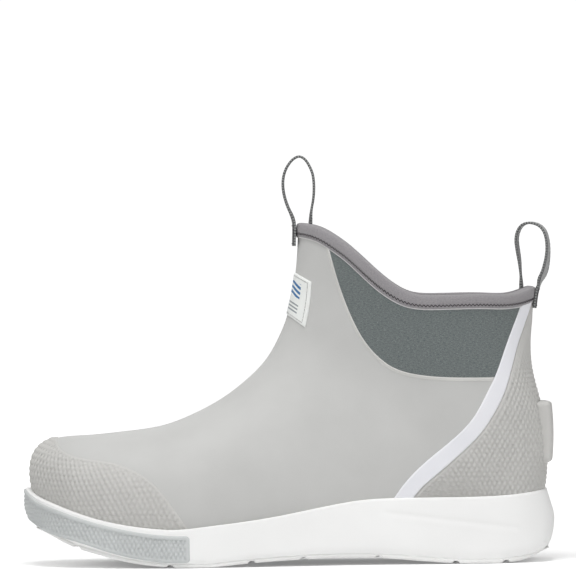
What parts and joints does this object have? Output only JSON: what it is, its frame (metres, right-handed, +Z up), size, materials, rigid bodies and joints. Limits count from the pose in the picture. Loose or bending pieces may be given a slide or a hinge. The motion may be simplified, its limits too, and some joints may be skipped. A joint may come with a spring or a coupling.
{
  "type": "ankle deck boot",
  "caption": "Slip-on ankle deck boot for a left foot: pale rubber upper, stretch side gores, scaled toe and heel caps, white foam sole and a pull loop at each end of the collar.",
  "frame": {"origin": "on the floor, under the middle of the boot's length and width", "axes": "+X towards the toe, +Y towards the outer side of the left foot, +Z up"},
  "size_m": [0.3, 0.1042, 0.228],
  "materials": {
    "pale_rubber": "matt pale warm grey rubber with a fine dry grain",
    "cap_rubber": "matt light grey rubber moulded in small scales",
    "bumper_rubber": "matt cool grey rubber with upright diamonds",
    "foam": "matt white moulded foam",
    "outsole_rubber": "matt white rubber",
    "stretch_cloth": "heathered green-grey stretch cloth",
    "lining_cloth": "grey knitted lining",
    "tape": "mauve-grey woven tape",
    "webbing": "grey woven webbing with darker edges",
    "thread": "dark grey thread",
    "stripe_rubber": "smooth white rubber",
    "label_rubber": "white patch with a plain blue and grey pattern",
    "board_fibre": "tan fibre board",
    "steel": "sprung steel",
    "stiff_sheet": "stiffened sheet"
  },
  "bodies": {
    "boot": {"outsole": "outsole_rubber", "midsole": "foam", "toe_bumper": "bumper_rubber", "shank": "steel", "upper_shell": "pale_rubber", "gore_left": "stretch_cloth", "gore_right": "stretch_cloth", "toe_puff": "stiff_sheet", "heel_counter": "stiff_sheet", "lining": "lining_cloth", "insole_board": "board_fibre", "toe_cap": "cap_rubber", "heel_cap": "cap_rubber", "heel_kick_tab": "cap_rubber", "side_stripe_left": "stripe_rubber", "side_stripe_right": "stripe_rubber", "front_label": "label_rubber", "collar_binding": "tape", "collar_stitching_left": "thread", "collar_stitching_right": "thread", "front_loop_outer_tab": "webbing", "front_loop_inner_tab": "webbing", "rear_loop_outer_tab": "webbing", "rear_loop_inner_tab": "webbing"},
    "loose_footbed": {"footbed": "foam", "footbed_cover": "lining_cloth"},
    "front_loop": {"front_pull_loop": "webbing"},
    "rear_loop": {"rear_pull_loop": "webbing"}
  },
  "joints": [
    {"name": "front_loop_fold", "type": "hinge", "parent": "boot", "child": "front_loop", "pos_m": [-0.00809, 0, 0.199], "axis": [0, 1, 0], "range_deg": [-75, 75], "stiffness_Nm_per_rad": 0.004},
    {"name": "rear_loop_fold", "type": "hinge", "parent": "boot", "child": "rear_loop", "pos_m": [-0.13614, 0, 0.1636], "axis": [0, 1, 0], "range_deg": [-75, 75], "stiffness_Nm_per_rad": 0.004},
    {"name": "footbed_lift", "type": "hinge", "parent": "boot", "child": "loose_footbed", "pos_m": [0.14, 0, 0.0505], "axis": [0, 1, 0], "range_deg": [0, 5]}
  ]
}
